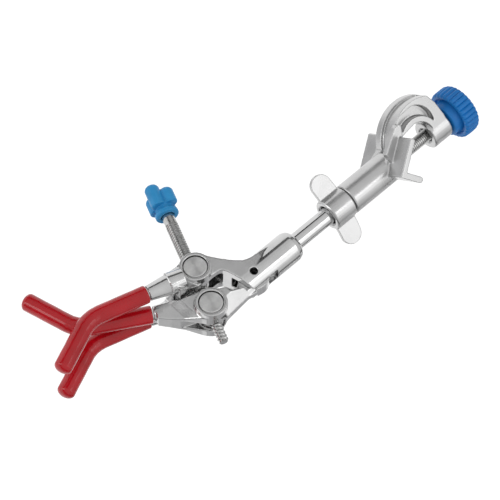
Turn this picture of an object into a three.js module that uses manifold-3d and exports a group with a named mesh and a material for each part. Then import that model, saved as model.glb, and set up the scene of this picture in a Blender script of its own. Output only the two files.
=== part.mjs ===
// Three-prong retort clamp with a swivelling boss head.
//
// Row frame, millimetres: the origin is the centre of a 12 mm stand rod seated in the
// V of the boss head. +Z runs along the stand rod, +X from the stand rod along the arm
// towards the prongs. The boss head is drawn in (x, u, s), where u is the side that the
// hook rises on. The jaws are drawn in (x, v, p), where v is the side of the adjusting
// knob and p runs along the jaw pivot.

import * as THREE from 'three';
import { mergeVertices } from 'three/addons/utils/BufferGeometryUtils.js';
import Module from 'manifold-3d';

const wasm = await Module();
wasm.setup();

// ---------------------------------------------------------------- driving dimensions

const GAP = 0.3;                       // running gap between neighbouring pieces
const SWIVEL = THREE.MathUtils.degToRad(-132.3);   // turn of the jaws about the arm

// boss head
const SEAT_ROD_RADIUS = 6;             // stand rod that the rest position holds
const V_UPPER = THREE.MathUtils.degToRad(41.5);    // seat faces, from the arm axis
const V_LOWER = THREE.MathUtils.degToRad(48.5);
const V_APEX = SEAT_ROD_RADIUS * Math.SQRT2;
const V_NEAR = 18.25;                  // ends of the seat plates along the stand rod
const V_FAR = 16;
const UPPER_PLATE = { length: 15.3, thickness: 2.5 };
const LOWER_PLATE = { length: 9.4, thickness: 3 };
const BARREL_RADIUS = 7.5;
const BARREL_END = 32.8;
const BARREL_BORE = 6.3;
const BORE_FLOOR = 14.4;
const HOOK_WIDTH = 13;
const HOOK_OUTER = { x: -15, u: 0.4, radius: 20.3 };
const HOOK_INNER = { x: -12, u: 3, radius: 7.9 };
const HOOK_FLANGE = 2.7;
const HOOK_WEB = 5.4;
const CHEEK = { outer: 8.75, inner: 5.5, back: 6.9, topBack: 5.9 };    // rib beside the hook, on one side
const BOSS_RADIUS = 7;
const BOSS_FACE = -17.9;
const BOSS_END = -29;

// clamp screw and its knob
const CLAMP_SCREW_RADIUS = 3;
const CLAMP_TIP = -SEAT_ROD_RADIUS - 0.2;
const KNOB_HUB_START = -29.8;
const KNOB_NEAR = -33.4;
const KNOB_FAR = -42.2;
const KNOB_RADIUS = 12.2;
const KNOB_FLUTES = 30;
const KNOB_HUB_RADIUS = 8.8;

// arm
const ROD_RADIUS = 4;
const ROD_END = 80;
const ROD_START = 14.7;
const ROD_GROOVE = { start: 15.6, end: 17.3, radius: 3.2 };
const RETAINING_RING_RADIUS = 5.8;
const WASHER = { start: 17.4, end: 18.7, radius: 5.9 };
const NUT_SLEEVE_START = 19;
const NUT_START = 33.3;
const NUT_END = 45;
const NUT_SLEEVE_RADIUS = BARREL_BORE - GAP;
const WING_SPAN = 18;
const WING_TURN = 8.5;                 // degrees about the arm, where the nut comes to rest
const WING_THICKNESS = 2;

// jaws
const HUB_START = 65.2;
const HUB_RADIUS = 7.4;
const PIVOT = { x: 91.4, v: -1 };
const LINK = 25.65;                    // pivot to each trunnion
const LINK_BISECTOR = THREE.MathUtils.degToRad(22);
const LINK_HALF_ANGLE = THREE.MathUtils.degToRad(22);
const WALL_HALF = 7.5;                 // outside of a jaw's side walls
const CHANNEL_HALF = 4.2;              // inside of the side walls
const CLEVIS_HALF = 3.5;
const TONGUE_HALF = CLEVIS_HALF - GAP;
const KNUCKLE_RADIUS = 7;
const RING_RADIUS = 7.25;
const RING_FACE = 10.6;                // the rings stand on the near wall only
const TRUNNION_RADIUS = 5.4;
const TRUNNION_NEAR = -10.3;
const TRUNNION_FAR = 7.2;
const PIN_RADIUS = 1.5;
const PIN_BORE = 0.9;
const PIN_HALF = 5.2;                  // sunk below the outside of the clevis
const PRONG_OFFSET = 11.2;             // the two upper prongs, either side of the middle
const PRONG_RADIUS = 2.8;
const SLEEVE_RADIUS = 4.1;

// adjusting screw
const UPPER_THREAD_RADIUS = 2.95;
const LOWER_THREAD_RADIUS = 2.4;
const KNOB_BASE = 34.4;                // beyond the upper trunnion
const SCREW_TIP = 15.2;                // beyond the lower trunnion
const LOBE_BASE = 4.6;                 // above the knob's flanged collar
const TALL_LOBE = 16;
const SHORT_LOBE = 13;
const LOBE_OFFSET = 3.95;
const LOBE_RADIUS = 3.4;
const LOBE_TURN = 52;                  // degrees of the first lobe about the screw

// ---------------------------------------------------------------- solids

function solid(geometry) {
  const bare = geometry.clone();
  bare.deleteAttribute('normal');
  bare.deleteAttribute('uv');
  const merged = mergeVertices(bare, 1e-4);
  return new wasm.Manifold(new wasm.Mesh({
    numProp: 3,
    vertProperties: new Float32Array(merged.attributes.position.array),
    triVerts: new Uint32Array(merged.index.array),
  }));
}

function join(first, ...others) {
  return others.reduce((sum, other) => sum.add(other), first);
}

function cut(first, ...others) {
  return others.reduce((rest, other) => rest.subtract(other), first);
}

function toGeometry(body) {
  const mesh = body.getMesh();
  const geometry = new THREE.BufferGeometry();
  geometry.setAttribute('position', new THREE.BufferAttribute(new Float32Array(mesh.vertProperties), 3));
  geometry.setIndex(new THREE.BufferAttribute(new Uint32Array(mesh.triVerts), 1));
  geometry.computeVertexNormals();
  return geometry;
}

// A body turned about the X axis, from a closed list of [x, radius].
function turned(profile, segments = 32) {
  const points = profile.map(([x, r]) => new THREE.Vector2(r, -x));
  const geometry = new THREE.LatheGeometry(points, segments);
  geometry.rotateZ(Math.PI / 2);
  return solid(geometry);
}

function xCylinder(radius, start, end, segments = 32) {
  return turned([[end, 0], [end, radius], [start, radius], [start, 0]], segments);
}

// A cylinder along the third axis, centred on (x, y).
function cross(x, y, radius, from, to, segments = 32) {
  const geometry = new THREE.CylinderGeometry(radius, radius, to - from, segments);
  geometry.rotateX(Math.PI / 2);
  geometry.translate(x, y, (from + to) / 2);
  return solid(geometry);
}

// An outline in the first two axes, extruded along the third.
function slab(shape, from, to, curveSegments = 8) {
  const geometry = new THREE.ExtrudeGeometry(shape, { depth: to - from, bevelEnabled: false, curveSegments });
  geometry.translate(0, 0, from);
  return solid(geometry);
}

// An outline in (x, third axis), extruded along the second axis.
function plan(shape, from, to) {
  const geometry = new THREE.ExtrudeGeometry(shape, { depth: to - from, bevelEnabled: false });
  geometry.rotateX(Math.PI / 2);
  geometry.translate(0, to, 0);
  return solid(geometry);
}

function outline(points) {
  return new THREE.Shape(points.map(([x, y]) => new THREE.Vector2(x, y)));
}

// Points of an arc in degrees, from one angle to another.
function arc(centreX, centreY, radius, from, to, steps = 12) {
  return Array.from({ length: steps + 1 }, (_, i) => {
    const angle = THREE.MathUtils.degToRad(from + (to - from) * i / steps);
    return [centreX + radius * Math.cos(angle), centreY + radius * Math.sin(angle)];
  });
}

// A cylinder or cone between two points of the (x, v) plane at depth p.
function strut(a, b, p, radiusA, radiusB = radiusA, segments = 24) {
  const length = Math.hypot(b[0] - a[0], b[1] - a[1]);
  const geometry = new THREE.CylinderGeometry(radiusB, radiusA, length, segments);
  geometry.rotateZ(Math.atan2(b[1] - a[1], b[0] - a[0]) - Math.PI / 2);
  geometry.translate((a[0] + b[0]) / 2, (a[1] + b[1]) / 2, p);
  return solid(geometry);
}

// ---------------------------------------------------------------- materials and nodes

const FINISHES = {
  chrome: { color: 0xd4d6d8, roughness: 0.18, metalness: 1 },
  steel: { color: 0xb4b6b8, roughness: 0.35, metalness: 1 },
  bluePlastic: { color: 0x2f86c6, roughness: 0.42, metalness: 0 },
  redVinyl: { color: 0xb01524, roughness: 0.3, metalness: 0 },
  brass: { color: 0xc9a24a, roughness: 0.35, metalness: 1 },
};

function node(name, body, finish) {
  const mesh = new THREE.Mesh(toGeometry(body), new THREE.MeshStandardMaterial(FINISHES[finish]));
  mesh.name = name;
  return mesh;
}

// ---------------------------------------------------------------- boss head

// Points of a seat plate, which leaves the apex at an angle either side of the arm axis.
function seatPlate(angle, side, { length, thickness }, roundTip) {
  const along = [-Math.cos(angle), side * Math.sin(angle)];
  const out = [Math.sin(angle), side * Math.cos(angle)];
  const at = (a, o) => [V_APEX + along[0] * a + out[0] * o, along[1] * a + out[1] * o];
  const tipRadius = thickness / 2;
  const tip = roundTip
    ? [-90, -60, -30, 0, 30, 60, 90].map((deg) => {
      const r = THREE.MathUtils.degToRad(deg);
      return at(length - tipRadius + tipRadius * Math.cos(r), tipRadius + tipRadius * Math.sin(r));
    })
    : [at(length - 0.5, 0), at(length, 0.5), at(length, thickness - 0.5), at(length - 0.5, thickness)];
  return [at(0, 0), ...tip, at(-thickness, thickness)];
}

function hookOutline() {
  const { x, u, radius } = HOOK_OUTER;
  return outline([
    [14, 0],
    [9, 5.4],
    ...arc(x, u, radius, 20, 119, 22),
    [-27, 13],
    [-28.4, 5.5],
    [BOSS_END + 0.4, 0],
    [-19.9, 0],
    ...arc(HOOK_INNER.x, HOOK_INNER.u, HOOK_INNER.radius, 180, 92, 10),
    [V_APEX - UPPER_PLATE.length * Math.cos(V_UPPER), UPPER_PLATE.length * Math.sin(V_UPPER) - 0.6],
    [V_APEX, 0],
  ]);
}

// The crescent hollow on each side of the hook, between its outer and inner flanges.
function hookHollow() {
  return outline([
    [-1.5, 14],
    [-4.5, 17],
    [-7.2, 18.5],
    ...arc(-12.5, 9, 10.2, 105, 196, 14),
    ...arc(HOOK_INNER.x, HOOK_INNER.u, HOOK_INNER.radius + HOOK_FLANGE, 162, 52, 12),
  ]);
}

// The shallow groove along the hook's back, between its two rims.
function hookGroove() {
  const { x, u, radius } = HOOK_OUTER;
  const depth = 1.3;
  return outline([
    ...arc(x, u, radius - depth, 17, 118, 16),
    ...arc(x, u, radius + 2, 118, 17, 16),
  ]);
}

function cheekOutline() {
  const along = [-Math.cos(V_UPPER), Math.sin(V_UPPER)];
  const out = [Math.sin(V_UPPER), Math.cos(V_UPPER)];
  const at = (a, o) => [V_APEX + along[0] * a + out[0] * o, along[1] * a + out[1] * o];
  const { back, topBack } = CHEEK;
  return outline([
    at(1.8, 0.6), at(16, 0.6), at(20, 2.6), at(20.6, 4), at(18.6, topBack), at(5.8, back),
  ]);
}

function bossHead() {
  const hookHalf = HOOK_WIDTH / 2;
  const barrel = turned([
    [BARREL_END, 0], [BARREL_END, BARREL_RADIUS - 0.5], [BARREL_END - 0.5, BARREL_RADIUS],
    [-4, BARREL_RADIUS], [-4, 0],
  ], 40);
  const opening = 40;
  const vSpace = slab(outline([
    [V_APEX, 0],
    [V_APEX - opening * Math.cos(V_UPPER), opening * Math.sin(V_UPPER)],
    [V_APEX - opening, 0],
    [V_APEX - opening * Math.cos(V_LOWER), -opening * Math.sin(V_LOWER)],
  ]), -V_NEAR - 1, V_FAR + 1);
  const lowerSpace = slab(outline([[7, -6.2], [7, -12], [-8, -12], [-8, -6.2]]), -V_NEAR, V_FAR);
  const body = join(
    cut(barrel, vSpace, lowerSpace),
    slab(outline(seatPlate(V_UPPER, 1, UPPER_PLATE, false)), -V_NEAR, V_FAR),
    slab(outline(seatPlate(V_LOWER, -1, LOWER_PLATE, true)), -V_NEAR, V_FAR),
    slab(cheekOutline(), -CHEEK.outer, -CHEEK.inner),
    slab(hookOutline(), -hookHalf, hookHalf),
    turned([
      [BOSS_FACE, 0], [BOSS_FACE, BOSS_RADIUS - 0.6], [BOSS_FACE - 0.6, BOSS_RADIUS],
      [BOSS_END + 0.4, BOSS_RADIUS], [BOSS_END, BOSS_RADIUS - 0.4], [BOSS_END, 0],
    ], 36),
  );
  const screwHole = CLAMP_SCREW_RADIUS + GAP;
  const bore = turned([
    [BARREL_END + 1, 0], [BARREL_END + 1, BARREL_BORE + 1], [BARREL_END - 0.7, BARREL_BORE],
    [BORE_FLOOR, BARREL_BORE], [BORE_FLOOR, 0],
  ], 32);
  const hollow = hookHollow();
  return cut(
    body,
    bore,
    xCylinder(screwHole, BOSS_END - 1, BOSS_FACE + 1, 24),
    turned([[BOSS_FACE + 1, 0], [BOSS_FACE + 1, screwHole + 2], [BOSS_FACE - 1.2, screwHole - 0.1],
      [BOSS_FACE - 1.2, 0]], 24),
    slab(hollow, HOOK_WEB / 2, hookHalf + 1),
    slab(hollow, -hookHalf - 1, -HOOK_WEB / 2),
    slab(hookGroove(), -2.2, 2.2),
  );
}

function clampScrew() {
  const r = CLAMP_SCREW_RADIUS;
  return turned([
    [CLAMP_TIP, 0], [CLAMP_TIP, 1.7], [CLAMP_TIP - 1, r], [KNOB_FAR + 4, r], [KNOB_FAR + 4, 0],
  ], 24);
}

// A round fluted knob on a hub, with a blind hole for the screw.
function clampKnob() {
  const pointsPerFlute = 4;
  const count = KNOB_FLUTES * pointsPerFlute;
  const rim = Array.from({ length: count }, (_, i) => {
    const angle = 2 * Math.PI * i / count;
    const radius = KNOB_RADIUS - 0.35 + 0.35 * Math.cos(KNOB_FLUTES * angle);
    return [radius * Math.cos(angle), radius * Math.sin(angle)];
  });
  const flutedGeometry = new THREE.ExtrudeGeometry(outline(rim), {
    depth: KNOB_NEAR - KNOB_FAR, bevelEnabled: false,
  });
  flutedGeometry.rotateY(-Math.PI / 2);
  flutedGeometry.translate(KNOB_NEAR, 0, 0);
  const limits = turned([
    [KNOB_NEAR, 0], [KNOB_NEAR, KNOB_RADIUS - 0.9], [KNOB_NEAR - 0.9, KNOB_RADIUS + 0.2],
    [KNOB_FAR + 1.4, KNOB_RADIUS + 0.2], [KNOB_FAR + 0.3, KNOB_RADIUS - 1.4], [KNOB_FAR, KNOB_RADIUS - 3],
    [KNOB_FAR, 0],
  ], 40);
  const hub = turned([
    [KNOB_HUB_START, 0], [KNOB_HUB_START, KNOB_HUB_RADIUS - 0.5], [KNOB_HUB_START - 0.5, KNOB_HUB_RADIUS],
    [KNOB_NEAR - 1, KNOB_HUB_RADIUS], [KNOB_NEAR - 1, 0],
  ], 36);
  const hole = xCylinder(CLAMP_SCREW_RADIUS + GAP, KNOB_FAR + 4 - GAP, KNOB_HUB_START + 1, 24);
  const dish = turned([
    [KNOB_FAR - 1, 0], [KNOB_FAR - 1, 7.4], [KNOB_FAR + 1, 6.8], [KNOB_FAR + 1, 0],
  ], 36);
  return cut(join(solid(flutedGeometry).intersect(limits), hub), hole, dish);
}

// ---------------------------------------------------------------- arm and its lock

// The rod ends in a groove for the ring that the wing nut's sleeve traps in the barrel.
function armRod() {
  return turned([
    [ROD_END, 0], [ROD_END, ROD_RADIUS - 0.5], [ROD_END - 0.5, ROD_RADIUS], [ROD_GROOVE.end, ROD_RADIUS],
    [ROD_GROOVE.end, ROD_GROOVE.radius], [ROD_GROOVE.start, ROD_GROOVE.radius],
    [ROD_GROOVE.start, ROD_RADIUS], [ROD_START, ROD_RADIUS], [ROD_START, 0],
  ], 32);
}

function retainingRing() {
  const bore = ROD_GROOVE.radius + GAP;
  const start = ROD_GROOVE.start + GAP;
  const end = ROD_GROOVE.end - GAP;
  return turned([
    [end, bore], [end, RETAINING_RING_RADIUS], [start, RETAINING_RING_RADIUS], [start, bore], [end, bore],
  ], 32);
}

function frictionWasher() {
  const bore = ROD_RADIUS + GAP;
  return turned([
    [WASHER.end, bore], [WASHER.end, WASHER.radius], [WASHER.start, WASHER.radius],
    [WASHER.start, bore], [WASHER.end, bore],
  ], 32);
}

function wingNut() {
  const half = (NUT_END - NUT_START) / 2;
  const middle = NUT_START + half + 0.5;
  const tip = WING_SPAN - 5.2;
  const wing = outline([
    [NUT_END - 0.5, -4],
    [NUT_END - 0.5, 9],
    ...arc(middle, tip, 5.3, 8, 172, 14),
    [NUT_START + 0.5, 9],
    [NUT_START + 0.5, -4],
  ]);
  const upper = slab(wing, -WING_THICKNESS / 2, WING_THICKNESS / 2);
  const lower = upper.rotate([180, 0, 0]);
  const collar = turned([
    [NUT_END, 0], [NUT_END, BARREL_RADIUS - 0.7], [NUT_END - 0.7, BARREL_RADIUS],
    [NUT_START + 0.4, BARREL_RADIUS], [NUT_START, BARREL_RADIUS - 0.4],
    [NUT_START, NUT_SLEEVE_RADIUS], [NUT_SLEEVE_START, NUT_SLEEVE_RADIUS], [NUT_SLEEVE_START, 0],
  ], 40);
  const bore = turned([
    [NUT_END + 1, 0], [NUT_END + 1, 6.4], [NUT_END - 1, ROD_RADIUS + 0.7],
    [NUT_START, ROD_RADIUS + GAP], [NUT_SLEEVE_START - 1, ROD_RADIUS + GAP], [NUT_SLEEVE_START - 1, 0],
  ], 32);
  return cut(join(collar, upper, lower), bore).rotate([WING_TURN, 0, 0]);
}

// ---------------------------------------------------------------- jaws

const UPPER_TRUNNION = [
  PIVOT.x + LINK * Math.cos(LINK_BISECTOR + LINK_HALF_ANGLE),
  PIVOT.v + LINK * Math.sin(LINK_BISECTOR + LINK_HALF_ANGLE),
];
const LOWER_TRUNNION = [
  PIVOT.x + LINK * Math.cos(LINK_BISECTOR - LINK_HALF_ANGLE),
  PIVOT.v + LINK * Math.sin(LINK_BISECTOR - LINK_HALF_ANGLE),
];
const SCREW_ANGLE = LINK_BISECTOR + Math.PI / 2;
const SCREW_DIRECTION = [Math.cos(SCREW_ANGLE), Math.sin(SCREW_ANGLE)];

// Centre lines of the prongs: where the casting's socket starts, where the sleeve
// starts, the elbow, and the tip.
const UPPER_PRONG = {
  socket: [122.6, 17.1],
  sleeve: [134.9, 20.7],
  elbow: [161.7, 28.6],
  tip: [187.3, 17.6],
};
const LOWER_PRONG = {
  socket: [122.5, 8.3],
  sleeve: [136.1, 16.5],
  elbow: [164.4, 33.5],
  tip: [172.0, 60.5],
};
const ELBOW_CUT = 6;                   // length of straight that each bend takes up

function onScrew(trunnion, distance) {
  return [trunnion[0] + SCREW_DIRECTION[0] * distance, trunnion[1] + SCREW_DIRECTION[1] * distance];
}

function between(a, b, share) {
  return [a[0] + (b[0] - a[0]) * share, a[1] + (b[1] - a[1]) * share];
}

function distance(a, b) {
  return Math.hypot(b[0] - a[0], b[1] - a[1]);
}

// A round bar along start, elbow and tip, with a rounded tip.
function bentBar(start, elbow, tip, p, radius, tipShort, segments, steps) {
  const to3 = (q) => new THREE.Vector3(q[0], q[1], p);
  const end = between(tip, elbow, tipShort / distance(tip, elbow));
  const entry = between(elbow, start, ELBOW_CUT / distance(elbow, start));
  const exit = between(elbow, end, ELBOW_CUT / distance(elbow, end));
  const path = new THREE.CurvePath();
  path.add(new THREE.LineCurve3(to3(start), to3(entry)));
  path.add(new THREE.QuadraticBezierCurve3(to3(entry), to3(elbow), to3(exit)));
  path.add(new THREE.LineCurve3(to3(exit), to3(end)));
  const ring = new THREE.Shape().absarc(0, 0, radius, 0, 2 * Math.PI);
  const geometry = new THREE.ExtrudeGeometry(ring, {
    steps, extrudePath: path, curveSegments: segments / 2, bevelEnabled: false,
  });
  const cap = new THREE.SphereGeometry(radius * 0.999, segments, segments / 2);
  const flat = new THREE.Matrix4().makeScale(1, 0.62, 1);
  cap.applyMatrix4(flat);
  cap.rotateZ(Math.atan2(end[1] - elbow[1], end[0] - elbow[0]) - Math.PI / 2);
  cap.translate(end[0], end[1], p);
  return solid(geometry).add(solid(cap));
}

function prong({ socket, elbow, tip }, p) {
  const start = between(socket, elbow, 0.06);
  return bentBar(start, elbow, tip, p, PRONG_RADIUS, 4.6, 12, 20);
}

function sleeve({ sleeve: start, elbow, tip }, p) {
  const outer = bentBar(start, elbow, tip, p, SLEEVE_RADIUS, 2.6, 20, 20);
  const beyond = between(start, elbow, -0.1);
  const inner = bentBar(beyond, elbow, tip, p, PRONG_RADIUS + GAP, 4.3, 12, 20);
  return outer.subtract(inner);
}

function trunnion(centre, screwRadius) {
  const r = TRUNNION_RADIUS;
  const geometry = new THREE.LatheGeometry([
    [0, TRUNNION_NEAR], [r - 0.4, TRUNNION_NEAR], [r, TRUNNION_NEAR + 0.4],
    [r, TRUNNION_FAR - 0.4], [r - 0.4, TRUNNION_FAR], [0, TRUNNION_FAR],
  ].map(([a, b]) => new THREE.Vector2(a, b)), 32);
  geometry.rotateX(Math.PI / 2);
  geometry.translate(centre[0], centre[1], 0);
  const hole = strut(onScrew(centre, -8), onScrew(centre, 8), 0, screwRadius + GAP, screwRadius + GAP, 20);
  return solid(geometry).subtract(hole);
}

// The eye round a trunnion, standing proud of the near wall.
function ringBoss([x, v]) {
  return cross(x, v, RING_RADIUS, -RING_FACE, WALL_HALF, 36);
}

function ringBore([x, v]) {
  return cross(x, v, TRUNNION_RADIUS + GAP, -RING_FACE - 1, RING_FACE + 1, 36);
}

// A mirrored plan outline from [x, half width] pairs.
function planOf(halfWidths) {
  return outline([...halfWidths, ...halfWidths.map(([x, w]) => [x, -w]).reverse()]);
}

// The fixed jaw: the hub that takes the rod, the clevis and the upper jaw's channel.
function jawHead() {
  const hub = turned([
    [PIVOT.x + 4, 0], [PIVOT.x + 4, HUB_RADIUS], [HUB_START + 3.4, HUB_RADIUS],
    [HUB_START + 1.5, HUB_RADIUS - 0.6], [HUB_START + 0.4, HUB_RADIUS - 1.7],
    [HUB_START, HUB_RADIUS - 3], [HUB_START, 0],
  ], 36);
  const side = outline([
    [78, 4.4], [85, 4.8], [88.4, 5.2], [91.2, 6.3], [93.8, 8.7], [96.1, 11.4], [98, 13.9], [99.7, 16.5],
    [101.4, 19.2], [104, 22.2], [108, 24], [113, 24.3], [118, 23.1], [124, 21.3],
    [124, 11], [121.5, 10.4], [118.5, 10.3], [114.8, 9.9], [110.6, 9.6], [106, 9.9], [102.6, 9.6],
    [101.2, 8.8], [100.3, 7], [99.4, 4.2], [98.4, 0.4], [97.8, -3.2], [96.6, -6.2], [93.6, -7.2], [78, -7.2],
  ]);
  const width = planOf([
    [77, 6.2], [84, 7.2], [92, WALL_HALF], [114.5, WALL_HALF], [118, 9.6], [124.5, 14.6],
  ]);
  const sockets = [-1, 1].map((hand) => strut(
    UPPER_PRONG.socket, between(UPPER_PRONG.sleeve, UPPER_PRONG.elbow, -0.02), hand * PRONG_OFFSET,
    5.1, 3.5, 28,
  ));
  const roots = [-1, 1].map((hand) => strut(
    between(UPPER_PRONG.socket, UPPER_PRONG.elbow, -0.12),
    between(UPPER_PRONG.socket, UPPER_PRONG.elbow, 0.06),
    hand * PRONG_OFFSET, 4.6, 5.4, 28,
  ));
  const walls = cut(
    slab(side, -14, 14).intersect(plan(width, -20, 40)),
    cut(slab(outline([[76, -9], [98.6, -9], [98.6, 0], [76, 0]]), -9, 9), xCylinder(HUB_RADIUS, 70, 100, 36)),
  );
  const body = join(hub, walls, ringBoss(UPPER_TRUNNION), ...sockets, ...roots);
  const channel = outline([
    [101, -9], [101, 14.6], [103.2, 19], [106.4, 21], [112, 21.2], [118, 19.8], [120.5, 18], [120.5, -9],
  ]);
  const throat = outline([[117, -9], [117, 15.6], [123, 16.2], [130, 19], [130, -9]]);
  const slot = outline([
    [82, -9], [82, -4.4],
    ...arc(PIVOT.x, PIVOT.v, KNUCKLE_RADIUS + 0.5, 197, 60, 10),
    [101.5, 4], [101.5, -9],
  ]);
  const screwSlot = new THREE.Shape();
  screwSlot.absarc(106.3, 0, 3.6, Math.PI / 2, Math.PI * 1.5);
  screwSlot.absarc(110.6, 0, 3.6, -Math.PI / 2, Math.PI / 2);
  const prongHoles = [-1, 1].map((hand) => strut(
    between(UPPER_PRONG.socket, UPPER_PRONG.elbow, 0.052), UPPER_PRONG.elbow, hand * PRONG_OFFSET,
    PRONG_RADIUS + GAP, PRONG_RADIUS + GAP, 12,
  ));
  return cut(
    body,
    slab(channel, -CHANNEL_HALF, CHANNEL_HALF),
    slab(throat, -5.6, 5.6),
    slab(slot, -CLEVIS_HALF, CLEVIS_HALF),
    plan(screwSlot, 18, 26),
    ringBore(UPPER_TRUNNION),
    cross(PIVOT.x, PIVOT.v, PIN_RADIUS + GAP, -12, 12, 20),
    xCylinder(ROD_RADIUS + GAP, HUB_START - 1, ROD_END + GAP, 32),
    ...prongHoles,
  );
}

// A wedge off the jaw's lower corner, which flares from the narrow neck to the full width.
function underFlare(hand) {
  const section = (x, inner, low, high) => [[x, low, inner], [x, -11, inner], [x, -11, 9], [x, high, 9]];
  const corners = [...section(95, 1.3, -6.1, 0.4), ...section(113.5, 1.5, -7.9, -1.2), [120.5, -11, 7.6],
    [120.5, -11, 9], [120.5, -6.4, 9]];
  return wasm.Manifold.hull(corners.map(([x, v, p]) => [x, v, p * hand]));
}

// The swinging jaw: a tongue in the clevis, a channel round its trunnion, one prong.
function lowerJaw() {
  const side = outline([
    [98, -6.3], [99.6, -3], [101.2, -1], [104.4, -1.2], [106, 1.6], [108.3, 2.7], [112, 5.6], [117, 8],
    [121.4, 9.2], [124.6, 10.3], [127.4, 13.6], [134, 17.6],
    [136.8, 12], [133, 7.3], [129, 2.7], [124.5, -3], [123.3, -4.9], [121.4, -6.6], [119, -8], [116.8, -8.4],
    [108.5, -7.1],
  ]);
  const width = planOf([
    [97.6, 4.2], [101.4, 5.6], [106, WALL_HALF], [124.5, WALL_HALF], [129, 4.9], [133, 3.9], [138, 3.4],
  ]);
  const tongue = outline([
    ...arc(PIVOT.x, PIVOT.v, KNUCKLE_RADIUS, 75, 272, 20),
    [99.6, -6.6], [112, -7.6], [112, 0], [106, 0], [101.4, -0.4], [97.2, 2.4],
  ]);
  const socket = strut(
    LOWER_PRONG.socket, between(LOWER_PRONG.sleeve, LOWER_PRONG.elbow, -0.02), 0, 4.9, 3.7, 28,
  );
  const [x, v] = LOWER_TRUNNION;
  const full = join(
    slab(side, -14, 14).intersect(plan(width, -20, 40)),
    slab(tongue, -TONGUE_HALF, TONGUE_HALF),
    cross(x, v, RING_RADIUS, -WALL_HALF, WALL_HALF, 36),
  );
  const eye = cross(x, v, RING_RADIUS, -RING_FACE, 1 - WALL_HALF, 36);
  const body = join(cut(full, underFlare(-1), underFlare(1)), eye, socket);
  const channel = outline([
    [107, 12], [107, -2.4], [109.4, -4.4], [117.4, -5.6], [121.6, -3.6], [123.6, -0.6], [123.6, 12],
  ]);
  const screwSlot = outline([
    [115, -4], [115.4, -12], [126, -12], [133, 0.8], [130.6, 4.2], [121, 0],
  ]);
  const prongHole = strut(
    between(LOWER_PRONG.socket, LOWER_PRONG.elbow, 0.052), LOWER_PRONG.elbow, 0,
    PRONG_RADIUS + GAP, PRONG_RADIUS + GAP, 12,
  );
  return cut(
    body,
    slab(channel, -CHANNEL_HALF, CHANNEL_HALF),
    slab(screwSlot, -2.8, 2.8),
    ringBore(LOWER_TRUNNION),
    cross(PIVOT.x, PIVOT.v, PIN_RADIUS + GAP, -12, 12, 20),
    prongHole,
  );
}

// A rolled spring pin, open along its length.
function pivotPin() {
  const half = PIN_HALF;
  const opening = outline([[PIVOT.x - 0.3, PIVOT.v], [PIVOT.x + 0.3, PIVOT.v], [PIVOT.x + 0.3, PIVOT.v + 4],
    [PIVOT.x - 0.3, PIVOT.v + 4]]);
  return cut(
    cross(PIVOT.x, PIVOT.v, PIN_RADIUS, -half, half, 20),
    cross(PIVOT.x, PIVOT.v, PIN_BORE, -half - 1, half + 1, 16),
    slab(opening, -half - 1, half + 1),
  );
}

// ---------------------------------------------------------------- adjusting screw

// M6 through the upper trunnion and M5 of the other hand through the lower one.
function adjustScrew() {
  const change = onScrew(LOWER_TRUNNION, 7.6);
  return join(
    strut(change, onScrew(UPPER_TRUNNION, KNOB_BASE + 9), 0, UPPER_THREAD_RADIUS, UPPER_THREAD_RADIUS, 24),
    strut(onScrew(LOWER_TRUNNION, -SCREW_TIP + 0.8), onScrew(LOWER_TRUNNION, 8), 0, LOWER_THREAD_RADIUS,
      LOWER_THREAD_RADIUS, 20),
    strut(onScrew(LOWER_TRUNNION, -SCREW_TIP), onScrew(LOWER_TRUNNION, -SCREW_TIP + 0.9), 0,
      LOWER_THREAD_RADIUS - 0.7, LOWER_THREAD_RADIUS, 20),
  );
}

// Two tall and two short lobes on a flanged collar, drawn upright and then laid on the screw.
function adjustKnob() {
  const lathe = (profile, segments) => (
    new THREE.LatheGeometry(profile.map(([r, h]) => new THREE.Vector2(r, h)), segments)
  );
  const lobeTop = SHORT_LOBE - 1;
  const core = lathe([
    [0, 0], [5, 0], [5.5, 0.5], [5.5, 2], [5, 2.5], [4.2, 2.8], [4.2, lobeTop - 0.8],
    [3.4, lobeTop], [0, lobeTop],
  ], 28);
  const lobes = [TALL_LOBE, SHORT_LOBE, TALL_LOBE, SHORT_LOBE].map((top, i) => {
    const r = LOBE_RADIUS;
    const geometry = lathe([
      [0, LOBE_BASE], [r - 0.4, LOBE_BASE], [r, LOBE_BASE + 0.4], [r, top - 2], [r - 0.5, top - 1],
      [r - 1.4, top - 0.3], [0, top],
    ], 22);
    const angle = THREE.MathUtils.degToRad(LOBE_TURN + 90 * i);
    geometry.translate(LOBE_OFFSET * Math.cos(angle), 0, -LOBE_OFFSET * Math.sin(angle));
    return solid(geometry);
  });
  const holeRadius = UPPER_THREAD_RADIUS + GAP;
  const hole = new THREE.CylinderGeometry(holeRadius, holeRadius, 10.3, 24);
  hole.translate(0, 4.15, 0);
  const geometry = toGeometry(cut(join(solid(core), ...lobes), solid(hole)));
  const base = onScrew(UPPER_TRUNNION, KNOB_BASE);
  geometry.rotateZ(SCREW_ANGLE - Math.PI / 2);
  geometry.translate(base[0], base[1], 0);
  return solid(geometry);
}

// ---------------------------------------------------------------- assembly

const clamp = new THREE.Group();

const bossGroup = new THREE.Group();
bossGroup.rotation.x = Math.PI;
bossGroup.add(
  node('boss_head', bossHead(), 'chrome'),
  node('clamp_screw', clampScrew(), 'steel'),
  node('clamp_knob', clampKnob(), 'bluePlastic'),
  node('wing_nut', wingNut(), 'chrome'),
  node('friction_washer', frictionWasher(), 'brass'),
);

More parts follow.
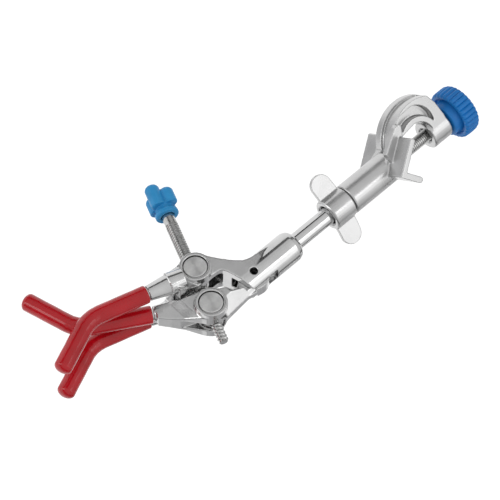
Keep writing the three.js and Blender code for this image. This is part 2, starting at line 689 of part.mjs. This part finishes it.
const armGroup = new THREE.Group();
armGroup.rotation.x = SWIVEL;
armGroup.add(
  node('arm_rod', armRod(), 'chrome'),
  node('retaining_ring', retainingRing(), 'steel'),
  node('jaw_head', jawHead(), 'chrome'),
  node('upper_prong_near', prong(UPPER_PRONG, -PRONG_OFFSET), 'steel'),
  node('upper_prong_far', prong(UPPER_PRONG, PRONG_OFFSET), 'steel'),
  node('upper_sleeve_near', sleeve(UPPER_PRONG, -PRONG_OFFSET), 'redVinyl'),
  node('upper_sleeve_far', sleeve(UPPER_PRONG, PRONG_OFFSET), 'redVinyl'),
  node('jaw_pivot_pin', pivotPin(), 'steel'),
  node('upper_trunnion', trunnion(UPPER_TRUNNION, UPPER_THREAD_RADIUS), 'steel'),
  node('lower_jaw', lowerJaw(), 'chrome'),
  node('lower_prong', prong(LOWER_PRONG, 0), 'steel'),
  node('lower_sleeve', sleeve(LOWER_PRONG, 0), 'redVinyl'),
  node('lower_trunnion', trunnion(LOWER_TRUNNION, LOWER_THREAD_RADIUS), 'steel'),
  node('adjust_screw', adjustScrew(), 'steel'),
  node('adjust_knob', adjustKnob(), 'bluePlastic'),
);

clamp.add(bossGroup, armGroup);

export default clamp;
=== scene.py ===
# Three-prong swivel retort clamp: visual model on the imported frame, in metres and the row frame.
# Pieces are drawn in millimetres and scaled where they are placed. Arm-local places are (x, v, p):
# x along the arm and v across it, in the plane in which the jaws open, and p out of that plane.

import math

import bpy
from mathutils import Matrix, Vector

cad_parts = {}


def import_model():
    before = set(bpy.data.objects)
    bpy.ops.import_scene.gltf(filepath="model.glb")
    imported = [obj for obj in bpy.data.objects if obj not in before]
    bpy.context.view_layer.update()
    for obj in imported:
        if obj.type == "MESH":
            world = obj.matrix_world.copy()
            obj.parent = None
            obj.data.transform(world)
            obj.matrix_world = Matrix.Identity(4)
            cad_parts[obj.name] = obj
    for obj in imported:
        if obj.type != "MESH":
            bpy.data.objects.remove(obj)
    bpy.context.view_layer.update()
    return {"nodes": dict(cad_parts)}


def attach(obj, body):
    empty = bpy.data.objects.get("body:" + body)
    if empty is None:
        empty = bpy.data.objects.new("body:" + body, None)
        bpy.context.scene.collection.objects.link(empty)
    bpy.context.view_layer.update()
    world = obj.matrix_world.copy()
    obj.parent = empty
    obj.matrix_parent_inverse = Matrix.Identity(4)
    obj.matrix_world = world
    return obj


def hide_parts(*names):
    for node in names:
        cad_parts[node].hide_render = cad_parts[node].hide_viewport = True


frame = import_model()
MM = 0.001

# ---------------------------------------------------------------- places, as in the CAD

SWIVEL = math.radians(-132.3)
PIVOT = (91.4, -1.0)
LINK = 25.65
LINK_BISECTOR = math.radians(22)
LINK_HALF = math.radians(22)
UPPER_TRUNNION = (
    PIVOT[0] + LINK * math.cos(LINK_BISECTOR + LINK_HALF),
    PIVOT[1] + LINK * math.sin(LINK_BISECTOR + LINK_HALF),
)
LOWER_TRUNNION = (
    PIVOT[0] + LINK * math.cos(LINK_BISECTOR - LINK_HALF),
    PIVOT[1] + LINK * math.sin(LINK_BISECTOR - LINK_HALF),
)
SCREW_ANGLE = LINK_BISECTOR + math.pi / 2
SCREW = Vector((math.cos(SCREW_ANGLE), math.sin(SCREW_ANGLE), 0))
PRONG_OFFSET = 11.2
UPPER_PRONG = {"sleeve": (134.9, 20.7), "elbow": (161.7, 28.6), "tip": (187.3, 17.6)}
LOWER_PRONG = {"sleeve": (136.1, 16.5), "elbow": (164.4, 33.5), "tip": (172.0, 60.5)}

# Arm-local (x, v, p) in millimetres to the row frame in metres.
ARM = Matrix.Rotation(SWIVEL, 4, "X") @ Matrix.Scale(MM, 4)
ROW = Matrix.Scale(MM, 4)


def axes_from(direction, origin, scale=MM):
    """A frame whose +Z runs along a direction, at an origin, both arm-local millimetres."""
    z = (Matrix.Rotation(SWIVEL, 3, "X") @ Vector(direction)).normalized()
    place = Matrix.Rotation(SWIVEL, 3, "X") @ (Vector(origin) * MM)
    turn = z.to_track_quat("Z", "Y").to_matrix().to_4x4()
    return Matrix.Translation(place) @ turn @ Matrix.Scale(scale, 4)


# ---------------------------------------------------------------- materials


class Nodes:
    """A small writer for one material's node tree."""

    def __init__(self, name):
        self.material = bpy.data.materials.new(name)
        self.material.use_nodes = True
        self.tree = self.material.node_tree
        self.shader = self.tree.nodes["Principled BSDF"]
        self.coordinates = self.add("ShaderNodeTexCoord").outputs["Object"]

    def add(self, kind, inputs=None, **settings):
        node = self.tree.nodes.new(kind)
        for key, value in settings.items():
            setattr(node, key, value)
        for key, value in (inputs or {}).items():
            self.feed(node.inputs[key], value)
        return node

    def feed(self, socket, value):
        if isinstance(value, bpy.types.NodeSocket):
            self.tree.links.new(value, socket)
        else:
            socket.default_value = value

    def noise(self, scale, detail=2.0, roughness=0.5, stretch=(1, 1, 1)):
        placed = self.add("ShaderNodeMapping", {"Vector": self.coordinates, "Scale": stretch})
        made = self.add(
            "ShaderNodeTexNoise",
            {"Vector": placed.outputs[0], "Scale": scale, "Detail": detail, "Roughness": roughness},
        )
        return made.outputs["Fac"]

    def spread(self, value, low, high, start=0.3, end=0.7):
        made = self.add(
            "ShaderNodeMapRange",
            {"Value": value, "From Min": start, "From Max": end, "To Min": low, "To Max": high},
        )
        return made.outputs["Result"]

    def mix(self, factor, first, second):
        made = self.add("ShaderNodeMix", {"Factor": factor}, data_type="RGBA")
        self.feed(made.inputs[6], (*first, 1))
        self.feed(made.inputs[7], (*second, 1))
        return made.outputs[2]

    def bump(self, *layers):
        """Stacks bump maps of (height, strength, distance in metres)."""
        normal = None
        for height, strength, distance in layers:
            levels = {"Height": height, "Strength": strength, "Distance": distance}
            made = self.add("ShaderNodeBump", levels)
            if normal is not None:
                self.feed(made.inputs["Normal"], normal)
            normal = made.outputs["Normal"]
        self.feed(self.shader.inputs["Normal"], normal)

    def set(self, **values):
        for key, value in values.items():
            self.feed(self.shader.inputs[key.replace("_", " ")], value)


def chrome_casting():
    m = Nodes("chrome_casting")
    patches = m.noise(90, 3)
    grain = m.noise(900, 2)
    m.set(
        Base_Color=m.mix(m.spread(patches, 0, 1), (0.52, 0.52, 0.52), (0.60, 0.60, 0.60)),
        Metallic=1.0,
        Roughness=m.spread(patches, 0.24, 0.33),
    )
    m.bump((m.noise(140, 1), 0.12, 0.0004), (grain, 0.05, 0.00005))
    return m.material


def ground_casting():
    """Casting walls that were linished before plating: fine lines along one direction."""
    m = Nodes("ground_casting")
    patches = m.noise(120, 3)
    lines = m.noise(160, 3, 0.7, stretch=(12, 0.6, 0.6))
    m.set(
        Base_Color=m.mix(m.spread(patches, 0, 1), (0.56, 0.56, 0.56), (0.64, 0.64, 0.64)),
        Metallic=1.0,
        Roughness=m.spread(patches, 0.15, 0.22),
    )
    m.bump((m.noise(140, 1), 0.12, 0.0004), (lines, 0.12, 0.0001))
    return m.material


def bright_rod():
    m = Nodes("bright_rod")
    lines = m.noise(300, 2, 0.6, stretch=(20, 1, 1))
    m.set(
        Base_Color=m.mix(m.spread(lines, 0, 1), (0.58, 0.58, 0.58), (0.66, 0.66, 0.66)),
        Metallic=1.0,
        Roughness=m.spread(lines, 0.06, 0.12),
    )
    m.bump((lines, 0.03, 0.00004))
    return m.material


RING_SPACING = 0.00022                  # lathe marks, in metres


def turned_steel():
    """End faces faced on a lathe: rings about the piece's own Z axis."""
    m = Nodes("turned_steel")
    split = m.add("ShaderNodeSeparateXYZ", {"Vector": m.coordinates})
    flat = m.add("ShaderNodeCombineXYZ", {"X": split.outputs["X"], "Y": split.outputs["Y"]})
    length = m.add("ShaderNodeVectorMath", {0: flat.outputs["Vector"]}, operation="LENGTH")
    per_metre = 2 * math.pi / RING_SPACING
    rings = m.add("ShaderNodeMath", {0: length.outputs["Value"], 1: per_metre}, operation="MULTIPLY")
    wave = m.add("ShaderNodeMath", {0: rings.outputs["Value"]}, operation="SINE")
    tangent = m.add("ShaderNodeTangent", direction_type="RADIAL", axis="Z")
    patches = m.noise(500, 3)
    m.set(
        Base_Color=m.mix(m.spread(patches, 0, 1), (0.62, 0.62, 0.62), (0.72, 0.72, 0.71)),
        Metallic=1.0,
        Roughness=m.spread(patches, 0.30, 0.36),
        Anisotropic=0.95,
        Tangent=tangent.outputs["Tangent"],
    )
    m.bump((wave.outputs["Value"], 0.06, 0.00002))
    return m.material


def threaded_steel():
    m = Nodes("threaded_steel")
    stains = m.noise(500, 3)
    m.set(
        Base_Color=m.mix(m.spread(stains, 0, 1), (0.48, 0.48, 0.47), (0.60, 0.60, 0.60)),
        Metallic=1.0,
        Roughness=m.spread(stains, 0.18, 0.28),
    )
    m.bump((m.noise(2500, 2), 0.04, 0.00003))
    return m.material


# Near-black steel as painted shade: the pivot pin is this dark to stand for the shadow inside its hole,
# and its retaining ring shares it. The blotches are random tone.
def painted_shade_steel():
    m = Nodes("painted_shade_steel")
    stains = m.noise(600, 3)
    m.set(
        Base_Color=m.mix(m.spread(stains, 0, 1), (0.012, 0.012, 0.013), (0.03, 0.03, 0.03)),
        Metallic=0.6,
        Roughness=m.spread(stains, 0.45, 0.6),
    )
    m.bump((m.noise(2500, 2), 0.08, 0.00003))
    return m.material


def blue_plastic(name, deep, light):
    m = Nodes(name)
    cloud = m.noise(120, 2)
    m.set(
        Base_Color=m.mix(m.spread(cloud, 0, 1), deep, light),
        Roughness=m.spread(m.noise(700, 2), 0.34, 0.46),
        Specular_IOR_Level=0.35,
    )
    m.bump((m.noise(260, 2), 0.10, 0.0003), (m.noise(5000, 2), 0.10, 0.00004))
    return m.material


def red_vinyl():
    m = Nodes("red_vinyl")
    cloud = m.noise(90, 2)
    m.set(
        Base_Color=m.mix(m.spread(cloud, 0, 1), (0.38, 0.002, 0.006), (0.47, 0.003, 0.010)),
        Roughness=m.spread(m.noise(400, 2), 0.18, 0.28),
        Specular_IOR_Level=0.3,
        Coat_Weight=0.4,
        Coat_Roughness=0.06,
    )
    m.bump((m.noise(110, 1), 0.16, 0.0007), (m.noise(4000, 2), 0.02, 0.00003))
    return m.material


def brass():
    m = Nodes("brass")
    tone = m.noise(400, 3)
    m.set(
        Base_Color=m.mix(m.spread(tone, 0, 1), (0.62, 0.43, 0.18), (0.76, 0.56, 0.27)),
        Metallic=1.0,
        Roughness=m.spread(tone, 0.2, 0.35),
    )
    m.bump((m.noise(1500, 2), 0.1, 0.00003))
    return m.material


CHROME = chrome_casting()
GROUND = ground_casting()
ROD = bright_rod()
TURNED = turned_steel()
THREADED = threaded_steel()
PAINTED_SHADE = painted_shade_steel()
BLUE = blue_plastic("deep_blue_plastic", (0.004, 0.150, 0.46), (0.008, 0.185, 0.55))
SKY = blue_plastic("sky_blue_plastic", (0.020, 0.24, 0.52), (0.030, 0.29, 0.61))
RED = red_vinyl()
BRASS = brass()

# ---------------------------------------------------------------- mesh helpers


def make(name, vertices, faces, place, material, body, node, slot, sharp=30):
    """A mesh piece in its own frame, which rides on a body and stands for a CAD node."""
    mesh = bpy.data.meshes.new(name)
    mesh.from_pydata([tuple(v) for v in vertices], [], faces)
    scale = place.to_scale().x
    mesh.transform(Matrix.Scale(scale, 4))
    mesh.shade_smooth()
    mesh.set_sharp_from_angle(angle=math.radians(sharp))
    mesh.materials.append(material)
    piece = bpy.data.objects.new(name, mesh)
    bpy.context.scene.collection.objects.link(piece)
    piece.matrix_world = place @ Matrix.Scale(1 / scale, 4)
    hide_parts(node)
    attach(piece, body)
    return piece


def grid(rows):
    """Faces over rings of equal length, joined in order, each ring closed on itself."""
    count = len(rows[0])
    vertices = [v for ring in rows for v in ring]
    faces = []
    for i in range(len(rows) - 1):
        a = i * count
        b = a + count
        for j in range(count):
            k = (j + 1) % count
            faces.append((a + j, a + k, b + k, b + j))
    return vertices, faces


def capped(rows):
    """A grid closed by an n-gon at each end."""
    vertices, faces = grid(rows)
    count = len(rows[0])
    last = len(vertices) - count
    faces.append(tuple(reversed(range(count))))
    faces.append(tuple(range(last, last + count)))
    return vertices, faces


def revolved(profile, segments=96):
    """A closed body turned about Z, from [(z, r), ...]; the profile's ends are capped."""
    angles = [2 * math.pi * j / segments for j in range(segments)]
    rows = [[(r * math.cos(a), r * math.sin(a), z) for a in angles] for z, r in profile]
    return capped(rows)


# One turn of a thread's outline: how far along the pitch, and how deep below the crest.
THREAD_SHAPE = ((0.0, 0.0), (0.12, 0.0), (0.44, 1.0), (0.62, 1.0), (0.94, 0.0))
THREAD_DEPTH = 0.6
THREAD_SEGMENTS = 48
END_DISC = 0.02


def thread_rows(start, end, radius, pitch, hand):
    """Rings of a helical thread along Z, chamfered where it starts and ends."""
    turns = int((end - start) / pitch) + 3
    rows = []
    for turn in range(-1, turns):
        for share, dip in THREAD_SHAPE:
            ring = []
            for j in range(THREAD_SEGMENTS):
                angle = 2 * math.pi * j / THREAD_SEGMENTS
                z = start + (turn + share + hand * j / THREAD_SEGMENTS) * pitch
                z = min(max(z, start), end)
                ease = min(1.0, min(z - start, end - z) / THREAD_DEPTH)
                r = radius - THREAD_DEPTH * max(dip, 1 - ease)
                ring.append((r * math.cos(angle), r * math.sin(angle), z))
            rows.append(ring)
    return rows


def thread_faces(rows, hand):
    """Faces of thread rings, whose seam steps by one turn."""
    count = THREAD_SEGMENTS
    vertices = [v for ring in rows for v in ring]
    faces = []
    for i in range(len(rows) - 1):
        a = i * count
        b = a + count
        for j in range(count - 1):
            faces.append((a + j, a + j + 1, b + j + 1, b + j))
        k = i + len(THREAD_SHAPE) * hand
        if 0 <= k and k + 1 < len(rows):
            faces.append((b - 1, k * count, (k + 1) * count, b + count - 1))
    return vertices, faces


def threaded(start, end, radius, pitch, hand=1):
    """A threaded length, its seam stepping by one turn, closed by a disc at each end."""
    core = radius - THREAD_DEPTH
    discs = [
        revolved([(z, core), (z + END_DISC, core)], THREAD_SEGMENTS)
        for z in (start, end - END_DISC)
    ]
    return merged(thread_faces(thread_rows(start, end, radius, pitch, hand), hand), *discs)


def merged(*parts):
    """Several (vertices, faces) as one."""
    vertices, faces = [], []
    for more_vertices, more_faces in parts:
        base = len(vertices)
        vertices += more_vertices
        faces += [tuple(i + base for i in face) for face in more_faces]
    return vertices, faces


def from_node(name, body, material, voxel, smooth, place=Matrix.Identity(4)):
    """The CAD node's own shape with every edge softened, as a casting or moulding has it."""
    source = frame["nodes"][name]
    mesh = source.data.copy()
    mesh.name = name + "_detail"
    mesh.materials.clear()
    mesh.materials.append(material)
    mesh.transform(place.inverted() @ source.matrix_world)
    piece = bpy.data.objects.new(name + "_detail", mesh)
    bpy.context.scene.collection.objects.link(piece)
    piece.matrix_world = place
    remesh = piece.modifiers.new("cast", "REMESH")
    remesh.mode = "VOXEL"
    remesh.voxel_size = voxel * MM
    remesh.adaptivity = 0
    remesh.use_smooth_shade = True
    soft = piece.modifiers.new("soft", "SMOOTH")
    soft.factor = 0.5
    soft.iterations = smooth
    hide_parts(name)
    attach(piece, body)
    return piece


# ---------------------------------------------------------------- castings and mouldings

from_node("boss_head", "boss", CHROME, 0.25, 7)
from_node("wing_nut", "wing_nut", CHROME, 0.2, 5)
from_node("jaw_head", "arm", GROUND, 0.25, 5)
from_node("lower_jaw", "lower_jaw", GROUND, 0.24, 5)
from_node("adjust_knob", "adjust_knob", SKY, 0.18, 6)
from_node(
    "upper_trunnion", "upper_trunnion", TURNED, 0.16, 2,
    axes_from((0, 0, -1), (*UPPER_TRUNNION, 0), 1),
)
from_node(
    "lower_trunnion", "lower_trunnion", TURNED, 0.16, 2,
    axes_from((0, 0, -1), (*LOWER_TRUNNION, 0), 1),
)

# ---------------------------------------------------------------- clamp screw and knob

ALONG_X = ROW @ Matrix.Rotation(math.pi / 2, 4, "Y")

make(
    "clamp_screw_threaded",
    *threaded(-38.0, -6.2, 3.0, 1.0),
    ALONG_X, THREADED, "clamp_screw", "clamp_screw", "plain_steel",
)


FLUTES = 30
FLUTE_SEGMENTS = 14
FLUTE_DEPTH = 0.75
FLUTE_ROUNDING = 0.7                    # below 1 the crests are broad and the grooves narrow


def fluted_knob():
    """A round knob with a hub, its rim fluted all the way round."""
    count = FLUTES * FLUTE_SEGMENTS
    # Place along the arm, radius, and the share of the flutes' depth that is cut there.
    profile = [
        (-29.8, 4.0, 0), (-29.8, 7.4, 0), (-29.95, 7.8, 0), (-30.3, 8.0, 0), (-32.4, 8.1, 0),
        (-33.9, 8.3, 0), (-34.6, 8.6, 0), (-34.7, 9.0, 0), (-34.3, 9.4, 0), (-33.6, 9.65, 0),
        (-33.4, 9.95, 0),
        (-33.4, 10.8, 0.1), (-33.5, 11.3, 0.6), (-33.9, 11.8, 1), (-34.6, 12.1, 1),
        (-36.0, 12.2, 1), (-38.0, 12.2, 1), (-40.0, 12.1, 1), (-41.0, 11.8, 1), (-41.7, 11.2, 0.8),
        (-42.1, 10.3, 0.3), (-42.2, 9.2, 0), (-42.15, 8.0, 0), (-41.9, 7.4, 0), (-41.4, 7.0, 0),
        (-41.2, 6.4, 0), (-41.2, 0.01, 0),
    ]
    rows = []
    for x, r, depth in reversed(profile):
        ring = []
        for j in range(count):
            angle = 2 * math.pi * j / count
            crest = abs(math.cos(FLUTES * angle / 2)) ** FLUTE_ROUNDING
            radius = r - FLUTE_DEPTH * depth * (1 - crest)
            ring.append((radius * math.cos(angle), radius * math.sin(angle), x))
        rows.append(ring)
    return capped(rows)


make("clamp_knob_fluted", *fluted_knob(), ALONG_X, BLUE, "clamp_knob", "clamp_knob", "blue_plastic", 40)

# ---------------------------------------------------------------- arm rod

make(
    "arm_rod_turned",
    *revolved([
        (14.7, 3.6), (15.1, 4.0), (15.6, 4.0), (15.6, 3.2),
        (17.3, 3.2), (17.3, 4.0), (79.5, 4.0), (80.0, 3.5),
    ]),
    ALONG_X, ROD, "arm", "arm_rod", "chrome_casting",
)

# ---------------------------------------------------------------- prongs and their sleeves

BEND = 6.0                              # straight that the bend takes up on either side
STRAIGHT_STEPS = 14
BEND_STEPS = 24
SLEEVE_RADIUS = 4.1
DOME = 2.54                             # length of the domed tip
DOME_STEPS = 12
DOME_ROOM = 2.6                         # how far before the tip the bar stops for the dome
DOME_POINT = 0.02                       # radius that the dome closes to
RIPPLE = 0.012                          # how much thinner the dipped coat runs in places
RIPPLE_STEP = 0.9

# The rolled lip of a sleeve: distance from its mouth and radius.
LIP = ((0.0, 3.0), (0.0, 3.4), (0.08, 3.78), (0.3, 4.02), (0.8, 4.1))


def bent_path(start, elbow, tip):
    """Points in (x, v) along a bar with one smooth bend, up to where its domed tip starts."""
    a, b, c = Vector(start), Vector(elbow), Vector(tip)
    c = c + (b - c).normalized() * DOME_ROOM
    entry = b + (a - b).normalized() * BEND
    leave = b + (c - b).normalized() * BEND
    points = [a.lerp(entry, i / STRAIGHT_STEPS) for i in range(STRAIGHT_STEPS)]
    for i in range(BEND_STEPS + 1):
        t = i / BEND_STEPS
        points.append((1 - t) ** 2 * entry + 2 * t * (1 - t) * b + t * t * leave)
    points += [leave.lerp(c, i / STRAIGHT_STEPS) for i in range(1, STRAIGHT_STEPS + 1)]
    return points


def swept(points, radii, p, segments=48):
    """A round bar along points in the jaw's plane at third coordinate p."""
    rows = []
    for i, (point, radius) in enumerate(zip(points, radii)):
        before, after = points[max(i - 1, 0)], points[min(i + 1, len(points) - 1)]
        along = (after - before).normalized()
        side = Vector((-along.y, along.x))
        ring = []
        for j in range(segments):
            angle = 2 * math.pi * j / segments
            offset = side * radius * math.cos(angle)
            ring.append((point.x + offset.x, point.y + offset.y, p + radius * math.sin(angle)))
        rows.append(ring)
    return capped(rows)


def sleeve(name, node, line, p, body):
    """A dipped sleeve: a rolled lip at its mouth, a long bar with one bend, a domed tip."""
    points = bent_path(line["sleeve"], line["elbow"], line["tip"])
    waves = [1 + RIPPLE * math.sin(RIPPLE_STEP * i + p) for i in range(len(points))]
    radii = [SLEEVE_RADIUS * min(1, wave) for wave in waves]
    inward = (points[1] - points[0]).normalized()
    mouth = [points[0] + inward * distance for distance, _ in LIP]
    mouth_radii = [radius for _, radius in LIP]
    outward = (points[-1] - points[-2]).normalized()
    tips, tip_radii = [], []
    for i in range(1, DOME_STEPS + 1):
        angle = math.pi / 2 * i / DOME_STEPS
        tips.append(points[-1] + outward * DOME * math.sin(angle))
        tip_radii.append(max(SLEEVE_RADIUS * math.cos(angle), DOME_POINT))
    shape = swept(mouth + points[1:] + tips, mouth_radii + radii[1:] + tip_radii, p)
    make(name, *shape, ARM, RED, body, node, "red_vinyl", 60)


sleeve("upper_sleeve_near_dipped", "upper_sleeve_near", UPPER_PRONG, -PRONG_OFFSET, "arm")
sleeve("upper_sleeve_far_dipped", "upper_sleeve_far", UPPER_PRONG, PRONG_OFFSET, "arm")
sleeve("lower_sleeve_dipped", "lower_sleeve", LOWER_PRONG, 0, "lower_jaw")

# ---------------------------------------------------------------- adjusting screw

SCREW_FRAME = axes_from(tuple(SCREW), (*UPPER_TRUNNION, 0))


SCREW_TIP = 15.2                        # beyond the lower trunnion
THREAD_CHANGE = 7.6                     # from the lower trunnion towards the upper one
THREAD_LAP = 0.2
FINE_END = 29.6                         # beyond the upper trunnion
SCREW_TOP = 43.4                        # inside the thumb knob


def adjusting_screw():
    """A fine right-hand thread, a thinner coarse left-hand one, and a plain end in the knob."""
    gap = (Vector(UPPER_TRUNNION) - Vector(LOWER_TRUNNION)).length
    change = -gap + THREAD_CHANGE
    fine = threaded(change, FINE_END, 2.95, 1.25)
    coarse = threaded(-gap - SCREW_TIP, change + THREAD_LAP, 2.4, 1.75, hand=-1)
    plain = revolved([(29.2, 2.4), (29.5, 2.85), (SCREW_TOP - 0.3, 2.85), (SCREW_TOP, 2.5)], 64)
    return merged(fine, coarse, plain)


make(
    "adjust_screw_threaded",
    *adjusting_screw(),
    SCREW_FRAME, THREADED, "adjust_screw", "adjust_screw", "plain_steel",
)

# ---------------------------------------------------------------- CAD nodes that stay

for name, material in (
    ("friction_washer", BRASS),
    # the pivot pin and its ring are near-black: painted shade for the dark of the pin's hole
    ("retaining_ring", PAINTED_SHADE),
    ("jaw_pivot_pin", PAINTED_SHADE),
    ("upper_prong_near", THREADED),
    ("upper_prong_far", THREADED),
    ("lower_prong", THREADED),
):
    mesh = frame["nodes"][name].data
    mesh.materials.clear()
    mesh.materials.append(material)

# ---------------------------------------------------------------- floor, light, camera


FLOOR_HALF = 14.0
FLOOR_HEIGHT = -0.7
PATCH_MIDDLE = (0.28, -0.34, FLOOR_HEIGHT)
PATCH_EDGE = (0.10, 0.42)               # where the patch starts to fade, and where it has gone
FAR_EDGE = (0.9, 1.6)                   # the far grey's start and full depth along +Y


def floor():
    """A white floor, greyer in a patch that the seat plates mirror and far off at +Y."""
    mesh = bpy.data.meshes.new("floor")
    signs = ((-1, -1), (1, -1), (1, 1), (-1, 1))
    corners = [(x * FLOOR_HALF, y * FLOOR_HALF, FLOOR_HEIGHT) for x, y in signs]
    mesh.from_pydata(corners, [], [(0, 1, 2, 3)])
    paper = Nodes("floor_paper")
    away = paper.add("ShaderNodeVectorMath", {0: paper.coordinates, 1: PATCH_MIDDLE}, operation="DISTANCE")
    patch = paper.spread(away.outputs["Value"], 1, 0, *PATCH_EDGE)
    split = paper.add("ShaderNodeSeparateXYZ", {"Vector": paper.coordinates})
    far = paper.spread(split.outputs["Y"], 0, 1, *FAR_EDGE)
    both = paper.add("ShaderNodeMath", {0: patch, 1: far}, operation="MAXIMUM")
    fade = both.outputs["Value"]
    paper.set(
        Base_Color=paper.mix(fade, (0.92, 0.92, 0.92), (0.60, 0.60, 0.61)),
        Roughness=0.75,
        Emission_Color=paper.mix(fade, (1, 1, 1), (0, 0, 0)),
        Emission_Strength=0.35,
    )
    mesh.materials.append(paper.material)
    piece = bpy.data.objects.new("floor", mesh)
    bpy.context.scene.collection.objects.link(piece)


AIM = (0.07, -0.01, -0.01)              # the middle of the object, which every lamp faces
LAMP_DISTANCE = 1.0


def softbox(name, direction, size, power):
    """A rectangular lamp that lights the object from a direction."""
    light = bpy.data.lights.new(name, "AREA")
    light.shape = "RECTANGLE"
    light.size, light.size_y = size
    light.energy = power
    lamp = bpy.data.objects.new(name, light)
    bpy.context.scene.collection.objects.link(lamp)
    towards = Vector(direction).normalized()
    lamp.location = Vector(AIM) + towards * LAMP_DISTANCE
    lamp.rotation_mode = "QUATERNION"
    lamp.rotation_quaternion = towards.to_track_quat("Z", "Y")


TENT = 0.85                             # strength of the sky
# The sky's brightness from straight down to straight up: dark at the horizon, like a studio's
# black edge cards, and bright above it, like a light tent.
SKY_STOPS = ((0.0, 0.2), (0.47, 0.03), (0.58, 0.05), (0.65, 0.78), (0.85, 0.92), (1.0, 1.0))


def world():
    """A sky whose brightness depends on height alone."""
    made = bpy.data.worlds.new("studio")
    bpy.context.scene.world = made
    made.use_nodes = True
    nodes, links = made.node_tree.nodes, made.node_tree.links
    direction = nodes.new("ShaderNodeTexCoord").outputs["Generated"]
    height = nodes.new("ShaderNodeSeparateXYZ")
    links.new(direction, height.inputs[0])
    tent = nodes.new("ShaderNodeValToRGB")
    ramp = tent.color_ramp
    while len(ramp.elements) < len(SKY_STOPS):
        ramp.elements.new(0.5)
    for element, (place, shade) in zip(ramp.elements, SKY_STOPS):
        element.position = place
        element.color = (shade, shade, shade, 1)
    half = nodes.new("ShaderNodeMapRange")
    half.inputs["From Min"].default_value = -1
    half.inputs["From Max"].default_value = 1
    links.new(height.outputs["Z"], half.inputs["Value"])
    links.new(half.outputs["Result"], tent.inputs["Fac"])
    links.new(tent.outputs["Color"], nodes["Background"].inputs["Color"])
    nodes["Background"].inputs["Strength"].default_value = TENT


CAMERA_PLACE = (0.4811, -0.4299, 0.9234)
CAMERA_BACK = (0.3633, -0.3849, 0.8485)
CAMERA_RIGHT = (-0.7230, 0.4579, 0.5173)
CAMERA_LENS = 178.2                     # in millimetres, on a sensor 36 mm wide


def camera():
    """A long lens high above the prongs' end, looking down at the clamp."""
    right = Vector(CAMERA_RIGHT)
    back = Vector(CAMERA_BACK).normalized()
    up = back.cross(right).normalized()
    right = up.cross(back)
    data = bpy.data.cameras.new("camera")
    data.lens = CAMERA_LENS
    data.sensor_width = 36
    data.clip_start = 0.05
    data.clip_end = 40
    made = bpy.data.objects.new("camera", data)
    bpy.context.scene.collection.objects.link(made)
    turn = Matrix((right, up, back)).transposed().to_4x4()
    made.matrix_world = Matrix.Translation(CAMERA_PLACE) @ turn
    bpy.context.scene.camera = made


floor()
world()
softbox("key", (-0.36, 0.24, 0.90), (0.7, 0.5), 0.8)
softbox("strip", (-0.363, -0.03, 0.931), (0.06, 0.6), 0.3)
softbox("low", (-0.36, 0.93, -0.02), (1.0, 0.12), 0.4)
softbox("left", (0.80, -0.58, 0.12), (0.35, 0.6), 1.6)
camera()
bpy.context.scene.view_settings.view_transform = "Standard"
